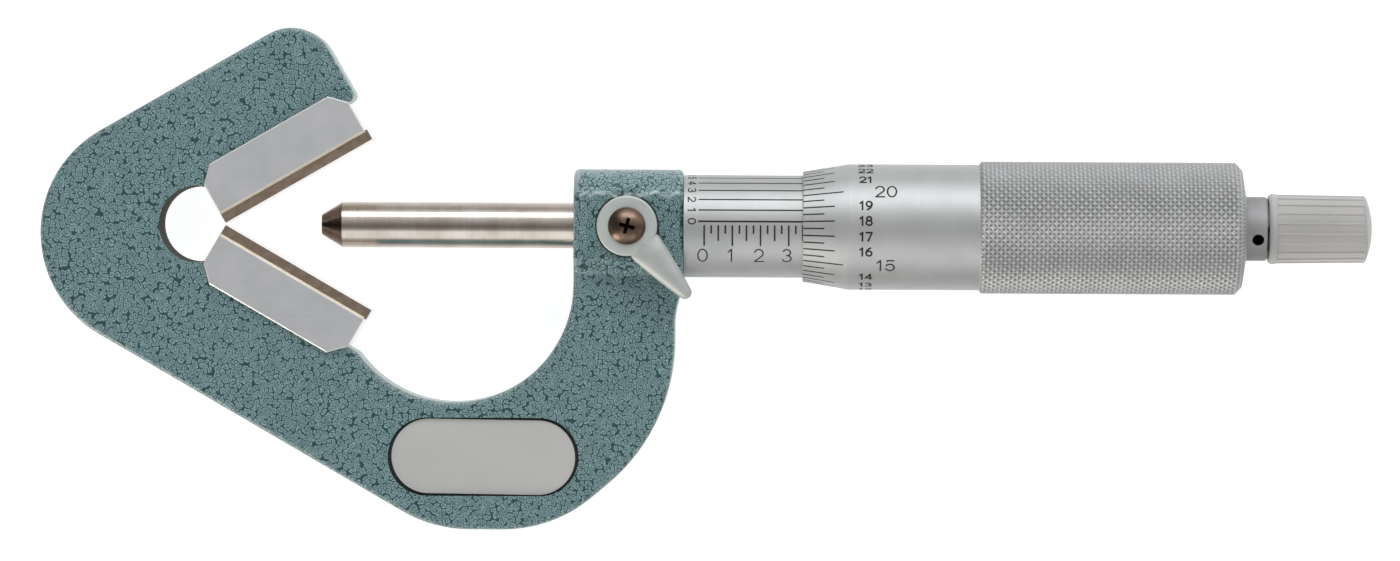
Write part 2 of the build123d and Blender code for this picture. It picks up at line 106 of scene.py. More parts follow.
def scaled(tree, vector, factor):
    inputs = {0: vector, "Scale": factor}
    return addNode(tree, "ShaderNodeVectorMath", inputs, operation="SCALE").outputs[0]


def distance(tree, place, middle=None, weights=None):
    # from a middle in mm, without the directions that have weight 0
    if middle:
        place = vectors(tree, "SUBTRACT", place, [c * mm for c in middle])
    if weights:
        place = vectors(tree, "MULTIPLY", place, weights)
    inputs = {0: place}
    return addNode(tree, "ShaderNodeVectorMath", inputs, operation="LENGTH").outputs["Value"]


def remap(tree, value, fromLow, fromHigh, toLow, toHigh, smooth=False):
    # carries one range over to another and holds it at the ends
    inputs = {0: value, 1: fromLow, 2: fromHigh, 3: toLow, 4: toHigh}
    kind = "SMOOTHSTEP" if smooth else "LINEAR"
    return addNode(tree, "ShaderNodeMapRange", inputs, interpolation_type=kind).outputs[0]


def blend(tree, share, one, other):
    # from one colour to the other as the share goes from 0 to 1
    other = toLinear(other) if isinstance(other, str) else other
    return addNode(tree, "ShaderNodeMix", {0: share, 6: one, 7: other}, data_type="RGBA").outputs[2]


def ramped(tree, value, stops):
    return addNode(tree, "ShaderNodeValToRGB", {0: value}, stops).outputs[0]


def noise(tree, place, scale, detail):
    inputs = {"Vector": place, "Scale": scale, "Detail": detail}
    return addNode(tree, "ShaderNodeTexNoise", inputs).outputs[0]


def bumped(tree, height, depth, strength):
    inputs = {"Height": height, "Distance": depth * mm, "Strength": strength}
    return addNode(tree, "ShaderNodeBump", inputs).outputs[0]


def axes(tree, vector):
    return addNode(tree, "ShaderNodeSeparateXYZ", {0: vector}).outputs


def upward(tree):
    # how squarely a surface faces along Z, either way
    normal = addNode(tree, "ShaderNodeTexCoord").outputs["Normal"]
    return maths(tree, "ABSOLUTE", axes(tree, normal)[2])


def objectPlace(tree):
    return addNode(tree, "ShaderNodeTexCoord").outputs["Object"]


looks = {}  # each finished material by its name


def newLook(name):
    # a material with its surface shader alone: returns its tree, the shader and coordinates
    looks[name] = bpy.data.materials.new(name)
    looks[name].use_nodes = True
    tree = looks[name].node_tree
    tree.nodes.clear()
    shader = addNode(tree, "ShaderNodeBsdfPrincipled")
    addNode(tree, "ShaderNodeOutputMaterial", {"Surface": shader.outputs[0]})
    return tree, shader, objectPlace(tree)


def reopened(look):
    # a finished material's tree, the socket of its colour, and what colours it
    tree = looks[look].node_tree
    base = tree.nodes["Principled BSDF"].inputs["Base Color"]
    return tree, base, base.links[0].from_socket


lockX = 54.692  # the lock's upright axis

enamelValues = {
    "cell": 0.72,  # mm between the middles of two blisters
    # kind of cells, their size in cells, and the slope and top of the dome inside one:
    # cells in space for the sides, and flat ones for the faces along Z
    "domes": (("3D", 1.1, -0.7, 0.64), ("2D", 0.94, -0.8, 0.6)),
    "facing": 0.93,  # from which a face counts as flat
    "softness": 0.14,  # of a blister's shoulder
    "warps": ((700.0, 0.0006), (2400.0, 0.00036)),  # scale and reach, in metres
    "patchScale": 1500.0,  # of the places where blisters run together
    # four numbers as here carry one range over to another
    "patches": (0.34, 0.7, -0.03, 0.08),
    "gain": 3.0,
    "vein": "#2c5056",  # pigment that floats to the valleys
    "body": "#64878b",
    "rim": "#9ab6b8",
    "core": "#5e8087",
    # these colours from a valley up to a blister's middle
    "paint": ((0.0, "vein"), (0.06, "vein"), (0.2, "body"), (0.36, "rim"), (0.46, "rim"),
              (0.8, "core")),
    "full": 0.6,  # from which a blister is at its height
    "relief": 0.6,
    "tones": (0.88, 1.1),  # of the palest and the deepest blister
    "bareWall": "#4c453c",  # the reamed hole's wall, which isn't painted
    "reliefX": -3.62,
    "reliefRadius": 5.18,
    "lockY": 0.02,
    "lockRadius": 4.27,  # painted shadow: the boss is painted dark under and just round the lever's disc
    "lockFade": 0.12,
    "lockShadow": "#1f2122",
    "height": 0.06,  # mm from valley to blister top
    "ridgeHighlight": "#c2d6d7",  # painted highlight: a pale line along the edge of the hub's flat
    "ridgeX": (48.2, 61.9),
    "ridgeY": 4.2,
    "ridgeWave": 0.9,
    "ridgeDrift": 420.0,
    "driftRange": (0.3, 0.7),
    "ridgeHalf": 0.22,
    "ridgeShare": 0.95,
    "ridgeThin": (0.4, 0.55, 0.35, 1.0),
    "edgeHighlight": "#a9b6b4",  # painted highlight along the casting's rounded edges
    "edgeHighlightLean": (0.9, 0.5, 0.0, 1.0),
    "wallLean": (0.02, 0.2, 0.0, 0.6),
    "castBelow": -9.0,  # mm from the axis, from which the hub is cast like the frame
    "platePlace": (35.3, -31.4),
    "plateHalf": (13.14, 5.69),
    "plateLevel": (3.4, 4.44),
    "shadow": "#1b2728",  # of the recess round the plate
    "shadowShare": 0.9,
    "roughness": 0.32,
    "bareRoughness": 0.9,
    "coat": 0.35,
    "coatRoughness": 0.18,
}


def addBlisters(tree, place, flatFace, v):
    # height inside each blister, and a random colour for each
    warped = place
    for scale, reach in v["warps"]:
        inputs = {"Vector": place, "Scale": scale, "Detail": 1.0}
        wobble = addNode(tree, "ShaderNodeTexNoise", inputs).outputs["Color"]
        moved = vectors(tree, "SUBTRACT", wobble, (0.5, 0.5, 0.5))
        warped = vectors(tree, "MULTIPLY_ADD", moved, (reach, reach, reach), warped)
    found = []
    for space, size, slope, top in v["domes"]:
        inputs = {"Vector": warped, "Scale": 1 / (v["cell"] * size * mm)}
        edge, middle = (
            addNode(tree, "ShaderNodeTexVoronoi", inputs, feature=kind, voronoi_dimensions=space)
            for kind in ("DISTANCE_TO_EDGE", "F1"))
        inside = maths(tree, "MULTIPLY_ADD", middle.outputs["Distance"], slope, top)
        rounded = maths(tree, "SMOOTH_MIN", edge.outputs["Distance"], inside, v["softness"])
        found.append((rounded, middle.outputs["Color"]))
    inputs = {0: flatFace, 2: found[0][0], 3: found[1][0]}
    cell = addNode(tree, "ShaderNodeMix", inputs).outputs[0]
    return cell, blend(tree, flatFace, found[0][1], found[1][1])


def makeHammertoneEnamel(v):
    # Hammertone enamel, sprayed and stoved: round blisters with dark veins between them,
    # glossy on top
    tree, shader, place = newLook("hammertoneEnamel")
    x, y, z = axes(tree, place)
    tilt = upward(tree)
    flatFace = maths(tree, "GREATER_THAN", tilt, v["facing"])
    cell, tint = addBlisters(tree, place, flatFace, v)
    patches = noise(tree, place, v["patchScale"], 2.0)
    valley = remap(tree, patches, *v["patches"])
    spread = maths(tree, "MULTIPLY", maths(tree, "SUBTRACT", cell, valley), v["gain"])
    paint = ramped(tree, spread, [(at, v[tone]) for at, tone in v["paint"]])
    colour = scaled(tree, paint, remap(tree, tint, 0.0, 1.0, *v["tones"]))

    fromHole = distance(tree, place, (v["reliefX"], 0, 0), (1, 1, 0))
    bare = maths(tree, "LESS_THAN", fromHole, v["reliefRadius"] * mm)
    colour = blend(tree, bare, colour, v["bareWall"])
    # painted shadow of the lever's disc: a dark ring on the boss round the lock's axis
    fromLock = distance(tree, place, (lockX, v["lockY"], 0), (1, 1, 0))
    lockEnd = (v["lockRadius"] + v["lockFade"]) * mm
    underDiscShadow = remap(tree, fromLock, v["lockRadius"] * mm, lockEnd, 1.0, 0.0)
    underDiscShadow = maths(tree, "MULTIPLY", underDiscShadow, maths(tree, "GREATER_THAN", z, 0.0))
    colour = blend(tree, underDiscShadow, colour, v["lockShadow"])

    # painted highlight along the hub's flat: the ridge wanders about its line, and is broken where
    # the noise patches are low
    inputs = {"W": x, "Scale": v["ridgeDrift"], "Detail": 3.0}
    drift = addNode(tree, "ShaderNodeTexNoise", inputs, noise_dimensions="1D").outputs[0]
    lowY, highY = ((v["ridgeY"] + way * v["ridgeWave"] / 2) * mm for way in (-1, 1))
    middleY = remap(tree, drift, *v["driftRange"], lowY, highY)
    fromRidge = maths(tree, "ABSOLUTE", maths(tree, "SUBTRACT", y, middleY))
    ridgeHighlight = remap(tree, fromRidge, 0.0, 2 * v["ridgeHalf"] * mm, v["ridgeShare"], 0.0, smooth=True)
    after = maths(tree, "GREATER_THAN", x, v["ridgeX"][0] * mm)
    before = maths(tree, "LESS_THAN", x, v["ridgeX"][1] * mm)
    broken = remap(tree, patches, *v["ridgeThin"])
    for share in (maths(tree, "MULTIPLY", after, before), broken):
        ridgeHighlight = maths(tree, "MULTIPLY", ridgeHighlight, share)
    colour = blend(tree, ridgeHighlight, colour, v["ridgeHighlight"])

    # painted highlight on faces that lean, but neither the flat ones nor the upright walls, and not
    # on the hub
    edgeHighlight = remap(tree, tilt, *v["edgeHighlightLean"])
    offWall = remap(tree, tilt, *v["wallLean"])
    casting = maths(tree, "LESS_THAN", x, v["ridgeX"][0] * mm)
    low = maths(tree, "LESS_THAN", y, v["castBelow"] * mm)
    for share in (offWall, maths(tree, "MAXIMUM", casting, low)):
        edgeHighlight = maths(tree, "MULTIPLY", edgeHighlight, share)
    colour = blend(tree, edgeHighlight, colour, v["edgeHighlight"])

    offPlate = vectors(tree, "SUBTRACT", place, (*(c * mm for c in v["platePlace"]), 0))
    plateX, plateY, _ = axes(tree, vectors(tree, "ABSOLUTE", offPlate))
    recess = v["shadowShare"]
    kinds = ["LESS_THAN", "LESS_THAN", "GREATER_THAN", "LESS_THAN"]
    limits = v["plateHalf"] + v["plateLevel"]
    for value, kind, limit in zip((plateX, plateY, z, z), kinds, limits):
        recess = maths(tree, "MULTIPLY", maths(tree, kind, value, limit * mm), recess)
    colour = blend(tree, recess, colour, v["shadow"])

    blister = remap(tree, spread, 0.0, v["full"], 0.0, 1.0, smooth=True)
    rise = maths(tree, "ADD", blister, ridgeHighlight)
    fillInputs(tree, shader, {
        "Base Color": colour,
        "Roughness": remap(tree, bare, 0.0, 1.0, v["roughness"], v["bareRoughness"]),
        "Coat Weight": remap(tree, bare, 0.0, 1.0, v["coat"], 0.0),
        "Coat Roughness": v["coatRoughness"],
        "Normal": bumped(tree, rise, v["height"], v["relief"])})


turnedMetals = {
    # light tone, dark tone, roughness, rings by the metre, their depth and metallic
    "lappedCarbideTip": ("#8d7b72", "#6f5f57", 0.16, 9000.0, 0.0005, 1.0),  # brown mirror
    "groundSpindleSteel": ("#dcd2c9", "#c3b8ae", 0.2, 9000.0, 0.001, 1.0),  # warm bright bands
    "satinChrome": ("#cccece", "#c5c7c7", 0.54, 7000.0, 0.0006, 0.85),      # even silk
    "knurledChrome": ("#d4d5d6", "#cacbcc", 0.6, 7000.0, 0.0006, 0.85),     # paler than the satin chrome, a painted glint on the diamonds
    "satinSteelCollar": ("#b6b6b7", "#a9a9aa", 0.66, 6000.0, 0.001, 0.8),   # dull grey
    "turnedSteel": ("#b5b3b0", "#98958f", 0.34, 5000.0, 0.003, 1.0),        # plain tool marks
    "springSteel": ("#a9a6a1", "#85827c", 0.3, 3000.0, 0.002, 1.0),         # darker wire
    "turnedBrass": ("#c9a75c", "#a98643", 0.3, 5000.0, 0.002, 1.0),         # the pad's yellow
    "silverBraze": ("#f4ecd4", "#e2d5b2", 0.4, 900.0, 0.003, 0.4),          # a pale gold line
}
turned = {
    "across": 40.0,  # scale of a ring's own unevenness
    "ringShare": 0.6,  # of the rings in the tone, beside the cloudiness
    "cloud": 260.0,
    "tones": (0.55, 1.0),  # at which the dark tone ends and the light one starts
    "ringRange": (0.3, 0.7),
    "spread": 0.04,  # of the roughness from ring to ring
    "relief": 0.4,
    "grooves": (0.15, 0.95, 1.0, 0.48),  # depth of a groove to the light left in it
}


def makeTurnedMetal(name, light, dark, roughness, rings, depth, metallic, v=turned):
    # Metal turned or ground round the measuring axis: fine rings along X and a faint cloudiness
    tree, shader, place = newLook(name)
    stretched = vectors(tree, "MULTIPLY", place, (rings, v["across"], v["across"]))
    ringed = noise(tree, stretched, 1.0, 3.0)
    both = maths(tree, "MULTIPLY_ADD", ringed, v["ringShare"], noise(tree, place, v["cloud"], 2.0))
    limits = [roughness + way * v["spread"] for way in (-1, 1)]
    fillInputs(tree, shader, {
        "Base Color": ramped(tree, both, [*zip(v["tones"], (dark, light))]),
        "Roughness": remap(tree, ringed, *v["ringRange"], *limits),
        "Normal": bumped(tree, ringed, depth, v["relief"]),
        "Metallic": metallic})


def shadeGrooves(look, attribute, v=turned):
    # painted shade in a knurl's grooves, whose depth the mesh carries as an attribute
    tree, base, tone = reopened(look)
    depth = addNode(tree, "ShaderNodeAttribute", attribute_name=attribute).outputs["Fac"]
    tree.links.new(scaled(tree, tone, remap(tree, depth, *v["grooves"])), base)


def shadeHole(look, at, radius, surface, hexColour):
    # painted shade in a small radial hole, nearly black: inside its radius and under the surface
    # round X
    tree, base, tone = reopened(look)
    place = objectPlace(tree)
    near = maths(tree, "LESS_THAN", distance(tree, place, at), radius * mm)
    fromAxis = distance(tree, place, weights=(0, 1, 1))
    hole = maths(tree, "MULTIPLY", near, maths(tree, "LESS_THAN", fromAxis, surface * mm))
    tree.links.new(blend(tree, hole, tone, hexColour), base)


def shadeBefore(look, x, hexColour):
    # painted shade: the metal before a place along X is darker, standing in for the dim wall the
    # nose mirrors
    tree, base, tone = reopened(look)
    before = maths(tree, "LESS_THAN", axes(tree, objectPlace(tree))[0], x)
    tree.links.new(blend(tree, before, tone, hexColour), base)


mattFinishes = {
    # light tone, dark tone, roughness, grain, its depth and metallic
    "satinCastLever": ("#d0d8d4", "#c5ccc9", 0.55, 0.12, 0.004, 0.4),       # cool grey, smooth
    "satinCastArmShaded": ("#cbd0cd", "#b9bdbb", 0.54, 0.35, 0.006, 0.4),         # coarser skin; darker than the disc, painted shade where the arm tilts away
    "satinSilverPlate": ("#ececea", "#e4e4e1", 0.42, 0.1, 0.002, 0.6),      # even silver
    "mouldedPlastic": ("#c1bfbd", "#b5b4b2", 0.48, 0.15, 0.004, 0.0),       # warm grey, soft shine
}
matted = {"grainShare": 0.5, "cloud": 120.0, "tones": (0.5, 1.0), "relief": 0.5}


def makeCastMatt(name, light, dark, roughness, grain, depth, metallic, v=matted):
    # A matt surface with a fine even grain, as blasted metal or moulded plastic has
    tree, shader, place = newLook(name)
    grains = noise(tree, place, 1 / (grain * mm), 2.0)
    cloud = noise(tree, place, v["cloud"], 2.0)
    both = maths(tree, "MULTIPLY_ADD", grains, v["grainShare"], cloud)
    fillInputs(tree, shader, {
        "Base Color": ramped(tree, both, [*zip(v["tones"], (dark, light))]),
        "Roughness": roughness,
        "Normal": bumped(tree, grains, depth, v["relief"]),
        "Metallic": metallic})


grinding = {
    "angle": -30,  # of the upper V face, in degrees
    "scratches": (60.0, 7000.0, 7000.0),  # scales along and across them
    "scratchShare": 0.5,
    "tones": (0.5, 1.0),
    "upright": 0.3,  # below which a face counts as lapped
    "lappedRoughness": 0.12,
    "bevel": (0.7, 0.15),  # how far it faces along Z, give or take
    "depth": 0.002,
    "relief": 0.4,
}

groundFinishes = {
    "groundToolSteel": {  # matt pale grey with straight scratches, and a painted highlight on the bevels
        "light": "#d8d9dc", "dark": "#cbcdd0", "lapped": "#e4e3e0", "bevel": "#f6f6f4",
        "metallic": 0.5, "roughness": 0.5, "cloud": 260.0},
    "groundCarbide": {  # darker, warmer and denser than the steel beside it
        "light": "#c2ad9c", "dark": "#a08b7b", "lapped": "#e9e4de", "bevel": "#c2ad9c",
        "metallic": 0.8, "roughness": 0.36, "cloud": 900.0},
}


def makeGroundBlock(name, v, g=grinding):
    # Surface ground along each V face: straight fine scratches on matt grey. The faces that stand
    # upright are lapped to a polish, and mirror whatever is beside them
    tree, shader, place = newLook(name)
    x, y, z = axes(tree, place)
    inputs = {0: x, 1: maths(tree, "ABSOLUTE", y), 2: z}
    folded = addNode(tree, "ShaderNodeCombineXYZ", inputs).outputs[0]
    along = addNode(tree, "ShaderNodeMapping", {
        "Vector": folded, "Rotation": (0, 0, math.radians(g["angle"])),
        "Scale": g["scratches"]}).outputs[0]
    scratches = noise(tree, along, 1.0, 3.0)
    cloud = noise(tree, place, v["cloud"], 3.0)
    both = maths(tree, "MULTIPLY_ADD", scratches, g["scratchShare"], cloud)
    tone = ramped(tree, both, [*zip(g["tones"], (v["dark"], v["light"]))])
    facing = upward(tree)
    lapped = maths(tree, "LESS_THAN", facing, g["upright"])
    colour = blend(tree, lapped, tone, v["lapped"])
    # painted highlight: the bevels, which lean half along Z, take the bevel colour
    colour = blend(tree, maths(tree, "COMPARE", facing, *g["bevel"]), colour, v["bevel"])
    fillInputs(tree, shader, {
        "Base Color": colour,
        "Roughness": remap(tree, lapped, 0.0, 1.0, v["roughness"], g["lappedRoughness"]),
        "Normal": bumped(tree, scratches, g["depth"], g["relief"]),
        "Metallic": v["metallic"]})


screwValues = {
    "tones": ("#5f5046", "#8a7565"),
    "places": (0.35, 0.7),
    "cloud": 700.0,
    "recess": "#17110f",
    "crossReach": 1.05,  # mm from the middle within which the recess may lie
    "recessTop": 9.72,  # mm above the frame's middle, below which the cross is in shadow
    "metallic": 0.9,
    "roughness": 0.33,
}


def makeBrownedScrew(v):
    # Steel browned in hot oil: dark brown gloss, and a nearly black painted shadow in the cross
    tree, shader, place = newLook("brownedSteelScrew")
    cloud = noise(tree, place, v["cloud"], 3.0)
    tone = ramped(tree, cloud, [*zip(v["places"], v["tones"])])
    # painted shadow: the cross recess is coloured nearly black
    fromAxis = distance(tree, place, (lockX, 0, 0), (1, 1, 0))
    near = maths(tree, "LESS_THAN", fromAxis, v["crossReach"] * mm)
    low = maths(tree, "LESS_THAN", axes(tree, place)[2], v["recessTop"] * mm)
    recess = maths(tree, "MULTIPLY", near, low)
    fillInputs(tree, shader, {
        "Base Color": blend(tree, recess, tone, v["recess"]),
        "Metallic": v["metallic"],
        "Roughness": v["roughness"]})


inkValues = {"tones": ("#1a1412", "#332824"), "places": (0.3, 0.75), "specks": 2500.0,
             "roughness": 0.6}


def makeInk(v):
    # Filling lacquer in engraved lines: nearly black, warm and dull
    tree, shader, place = newLook("fillingLacquer")
    speck = noise(tree, place, v["specks"], 1.0)
    tone = ramped(tree, speck, [*zip(v["places"], v["tones"])])
    fillInputs(tree, shader, {"Base Color": tone, "Roughness": v["roughness"]})


noseShade = {"length": 2.8, "colour": "#8f7b6f"}  # painted shade of the spindle's nose
collarHoleShade = {"at": (140.145, -1.32, 3.51), "radius": 2.2, "surface": 4.27, "colour": "#0f0a0a"}

for name, values in turnedMetals.items():
    makeTurnedMetal(name, *values)
for name, values in mattFinishes.items():
    makeCastMatt(name, *values)
for name, values in groundFinishes.items():
    makeGroundBlock(name, values)
shadeGrooves("knurledChrome", "knurlGrooveShade")
shadeHole("satinSteelCollar", *collarHoleShade.values())
shadeBefore("groundSpindleSteel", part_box("spindle_tip")[0].x + noseShade["length"] * mm,
           noseShade["colour"])
makeInk(inkValues)
makeHammertoneEnamel(enamelValues)
makeBrownedScrew(screwValues)
print("materials made")

finishes = {
    "hammertoneEnamel": ("frame",),
    "groundToolSteel": ("anvil_block_upper", "anvil_block_lower"),
    "groundCarbide": ("carbide_strip_upper", "carbide_strip_lower"),
    "satinSilverPlate": ("name_plate",),
    "lappedCarbideTip": ("spindle_tip",),
    "groundSpindleSteel": ("spindle",),
    "satinChrome": ("scale_sleeve", "thimble"),
    "satinSteelCollar": ("ratchet_shaft",),
    "turnedSteel": ("inner_sleeve", "adjusting_nut", "ratchet_bush", "ratchet_pawl", "lock_stem"),
    "springSteel": ("click_spring", "spring_washer", "retaining_clip"),
    "mouldedPlastic": ("ratchet_knob",),
    "turnedBrass": ("lock_plug",),
    "satinCastLever": ("lock_lever",),
    "brownedSteelScrew": ("lock_screw",),
}
for look, nodeNames in finishes.items():
    for nodeName in nodeNames:
        for materialSlot in nodes[nodeName].material_slots:
            materialSlot.material = looks[look]


def makeMesh(name, points, faces, look, flatFaces=None, crease=None):
    # points is an (n, 3) array in millimetres, faces an (m, 4) or (m, 3) array of their numbers,
    # and crease the angle in degrees from which an edge is sharp
    data = bpy.data.meshes.new(name)
    corners = faces.shape[1]
    data.vertices.add(len(points))
    data.vertices.foreach_set("co", (np.asarray(points, float) * mm).ravel())
    data.loops.add(faces.size)
    data.loops.foreach_set("vertex_index", faces.ravel().astype(np.int32))
    data.polygons.add(len(faces))
    starts = np.arange(0, faces.size, corners, dtype=np.int32)
    data.polygons.foreach_set("loop_start", starts)
    data.polygons.foreach_set("loop_total", np.full(len(faces), corners, dtype=np.int32))
    smooth = np.ones(len(faces), bool) if flatFaces is None else ~flatFaces
    data.polygons.foreach_set("use_smooth", smooth)
    data.update(calc_edges=True)
    data.validate()
    data.materials.append(looks[look])
    if crease:
        data.set_sharp_from_angle(angle=math.radians(crease))
    piece = bpy.data.objects.new(name, data)
    scene.collection.objects.link(piece)
    return piece


def gridFaces(rows, columns, closedRows=False):
    # quads of a grid of points that closes on itself along its columns, or both ways
    i, j = np.meshgrid(np.arange(rows - (not closedRows)), np.arange(columns), indexing="ij")
    k, m = (i + 1) % rows, (j + 1) % columns
    quads = [i * columns + j, i * columns + m, k * columns + m, k * columns + j]
    return np.stack(quads, -1).reshape(-1, 4)


def cappedTube(rings, ends=None, inward=False):
    # points and triangles of a tube through rings of points, an array (rows, columns, 3), with a
    # fan to a point at either end, which is its ring's middle if none is given
    rows, columns = rings.shape[:2]
    ends = rings[[0, -1]].mean(1) if ends is None else ends
    ring = np.arange(columns)
    after = (ring + 1) % columns
    foot, count = (rows - 1) * columns, rows * columns
    quads = gridFaces(rows, columns)
    fans = np.vstack([np.stack([np.full(columns, count), after, ring], 1),
                      np.stack([np.full(columns, count + 1), foot + ring, foot + after], 1)])
    if inward:
        quads, fans = quads[:, ::-1], fans[:, ::-1]
    faces = np.vstack([quads[:, [0, 1, 2]], quads[:, [0, 2, 3]], fans])
    return np.vstack([rings.reshape(-1, 3), ends]), faces


def aroundX(x, radius, angle):
    # points by their place along X, their radius and their angle from +Z towards +Y
    x, radius, angle = np.broadcast_arrays(x, radius, angle)
    return np.stack([x, radius * np.sin(angle), radius * np.cos(angle)], -1)


def armPlace(along, out, side):
    # a point by its way along a V face from the apex and its height out of that face
    angle = math.radians(30)
    x = along * math.cos(angle) - out * math.sin(angle)
    return x, side * (along * math.sin(angle) + out * math.cos(angle))


thimble = {
    "edgeRadius": 7.45,
    "radius": 8.54,
    "knurlRadius": 8.998,
    "coneLength": 6.19,
    "knurlStart": 23.93,  # from the thimble's edge
    "knurlEntry": 0.4,
    "endFace": 0.62,  # from the chamfer's foot to the end
    "chamfer": 0.92,
    "endRadius": 4.5,
    "bore": 7.3,
    "guideBore": 7.0,
    "guideLength": 11.5,
    "floor": 5.0,  # thickness of the end wall
    "seatBig": 3.31,
    "seatSmall": 2.585,
    "knurlAround": 50,  # grooves of each hand round the thimble
    "knurlPitch": 1.14,  # along the axis
    "knurlDepth": 0.22,
    "knurlLand": 0.36,  # share of a pitch beside a groove, past which a diamond is whole
    "steps": 6,  # mesh steps to one pitch
    "round": 0.12,
    "crease": 25.0,  # degrees from which an edge is sharp
}


def makeThimble(v):
    # A closed profile turned about X. Over the knurl the radius is the least of three: the bevel at
    # either end and the knurled radius, which drops to a groove wherever x/pitch + turn or
    # x/pitch - turn is a whole number, and is full a set share of a pitch away from it.
    low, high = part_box("thimble")
    x0 = low.x / mm
    length = (high.x - low.x) / mm
    chamferFoot = length - v["endFace"]
    knurlEnd = chamferFoot - v["chamfer"]
    rows = int(round((chamferFoot - v["knurlStart"]) / (v["knurlPitch"] / v["steps"])))
    knurlX = v["knurlStart"] + (chamferFoot - v["knurlStart"]) * np.arange(rows + 1) / rows
    r, floorX = v["round"], length - v["floor"]
    before = np.array([
        (r, v["guideBore"]), (0, v["guideBore"] + r), (0, v["edgeRadius"] - r / 2),
        (r / 2, v["edgeRadius"]), (v["coneLength"] * 0.5, (v["edgeRadius"] + v["radius"]) / 2),
        (v["coneLength"] - 0.05, v["radius"] - 0.01), (v["coneLength"] + 0.1, v["radius"]),
        (v["knurlStart"] - 0.01, v["radius"])])
    after = np.array([
        (length - 0.5 * v["endFace"], (v["knurlRadius"] - v["chamfer"] + v["endRadius"]) / 2),
        (length, v["endRadius"]), (length, v["seatSmall"]), (floorX, v["seatBig"]),
        (floorX, v["bore"] - r), (floorX - r, v["bore"]), (v["guideLength"], v["bore"]),
        (v["guideLength"], v["guideBore"])])
    columns = v["knurlAround"] * v["steps"]
    turn = np.arange(columns) / v["steps"]
    along = np.arange(rows + 1)[:, None] / v["steps"]
    fromGroove = (np.abs((along + hand * turn + 0.5) % 1 - 0.5) for hand in (1, -1))
    right, left = (1 - np.minimum(away / v["knurlLand"], 1) for away in fromGroove)
    knurl = v["knurlRadius"] - v["knurlDepth"] * np.maximum(right, left)
    step = v["knurlRadius"] - v["radius"]
    entry = v["radius"] + step * (knurlX - v["knurlStart"]) / v["knurlEntry"]
    chamferLine = v["knurlRadius"] - (knurlX - knurlEnd)
    knurlR = np.minimum(knurl, np.minimum(entry, chamferLine)[:, None])
    radius = np.vstack([
        np.repeat(before[:, 1:], columns, 1), knurlR, np.repeat(after[:, 1:], columns, 1)])
    x = np.concatenate([before[:, 0], knurlX, after[:, 0]]) + x0
    points = aroundX(x[:, None], radius, 2 * np.pi * np.arange(columns) / columns)

    # each quad is cut along the groove that crosses it
    a, d, c, b = gridFaces(len(x), columns, closedRows=True).T
    i, j = np.divmod(a, columns)
    first = len(before)
    rising = (((i - first) - j) % v["steps"] == 0)[:, None]
    one = np.where(rising, np.stack([a, b, c], -1), np.stack([a, b, d], -1))
    two = np.where(rising, np.stack([a, c, d], -1), np.stack([b, c, d], -1))
    faces = np.stack([one, two], 1).reshape(-1, 3)
    knurled = np.repeat((i >= first) & (i < first + rows), 2)
    piece = makeMesh("knurledThimble", points.reshape(-1, 3), faces, "satinChrome", knurled,
                     crease=v["crease"])
    piece.data.materials.append(looks["knurledChrome"])
    piece.data.polygons.foreach_set("material_index", knurled.astype(np.int32))
    # painted shade on the groove flanks, which the knurled material reads
    depth = np.zeros((len(x), columns), np.float32)
    depth[first:first + rows + 1] = np.abs(right - left)
    layer = piece.data.attributes.new("knurlGrooveShade", "FLOAT", "POINT")
    layer.data.foreach_set("value", depth.ravel())
    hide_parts("thimble")
    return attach(piece, "thimble_body")


thimblePiece = makeThimble(thimble)
print("thimble made:", len(thimblePiece.data.polygons), "faces")


def arc(cx, cy, rx, ry, start, end, count=14):
    # points on an ellipse's arc, angles in degrees from +x
    t = np.radians(np.linspace(start, end, count))
    return np.stack([cx + rx * np.cos(t), cy + ry * np.sin(t)], 1)


def lines(*corners):
    # one straight stroke between each two corners that follow each other
    return [np.array(pair, float) for pair in zip(corners, corners[1:])]


# Strokes of each numeral in a box one high, drawn as an engraver's cutter runs
strokes = {
    "0": [arc(0.36, 0.5, 0.36, 0.5, 90, 450, 28)],
    "1": lines((0.1, 0.78), (0.36, 1.0), (0.36, 0.0)),
    "2": [np.vstack([arc(0.36, 0.69, 0.33, 0.31, 165, -35), [(0.02, 0.0)]]),
          *lines((0.02, 0.0), (0.72, 0.0))],
    "3": [arc(0.34, 0.76, 0.29, 0.24, 155, -90), arc(0.34, 0.26, 0.34, 0.26, 90, -160)],
    "4": lines((0.55, 0.0), (0.55, 1.0), (0.0, 0.28), (0.76, 0.28)),
    "5": [*lines((0.64, 1.0), (0.13, 1.0), (0.07, 0.5)),
          arc(0.34, 0.33, 0.35, 0.33, 140, -155, 18)],
    "6": [arc(0.36, 0.31, 0.33, 0.31, 0, 360, 22), arc(0.78, 0.31, 0.75, 0.72, 180, 108)],
    "7": lines((0.03, 1.0), (0.7, 1.0), (0.27, 0.0)),
    "8": [arc(0.36, 0.77, 0.27, 0.23, 0, 360, 20), arc(0.36, 0.27, 0.34, 0.27, 0, 360, 22)],
    "9": [arc(0.36, 0.69, 0.33, 0.31, 0, 360, 22), arc(-0.06, 0.69, 0.75, 0.72, 0, -72)],
}

engraving = {
    "stride": 0.3,  # longest piece of a line, so that it bends with the surface
    "tipPlaces": (0.0, 0.4, 1.0),  # along a rounded tip, in half widths
    "tipWidths": (0.3, 0.8, 1.0),
    "lift": 0.008,  # of the ink above the metal
    "narrow": 0.5,  # width of the numeral 1 and of the others, in heights
    "wide": 0.74,
    "narrowShift": 0.06,
    "gap": 0.22,
}


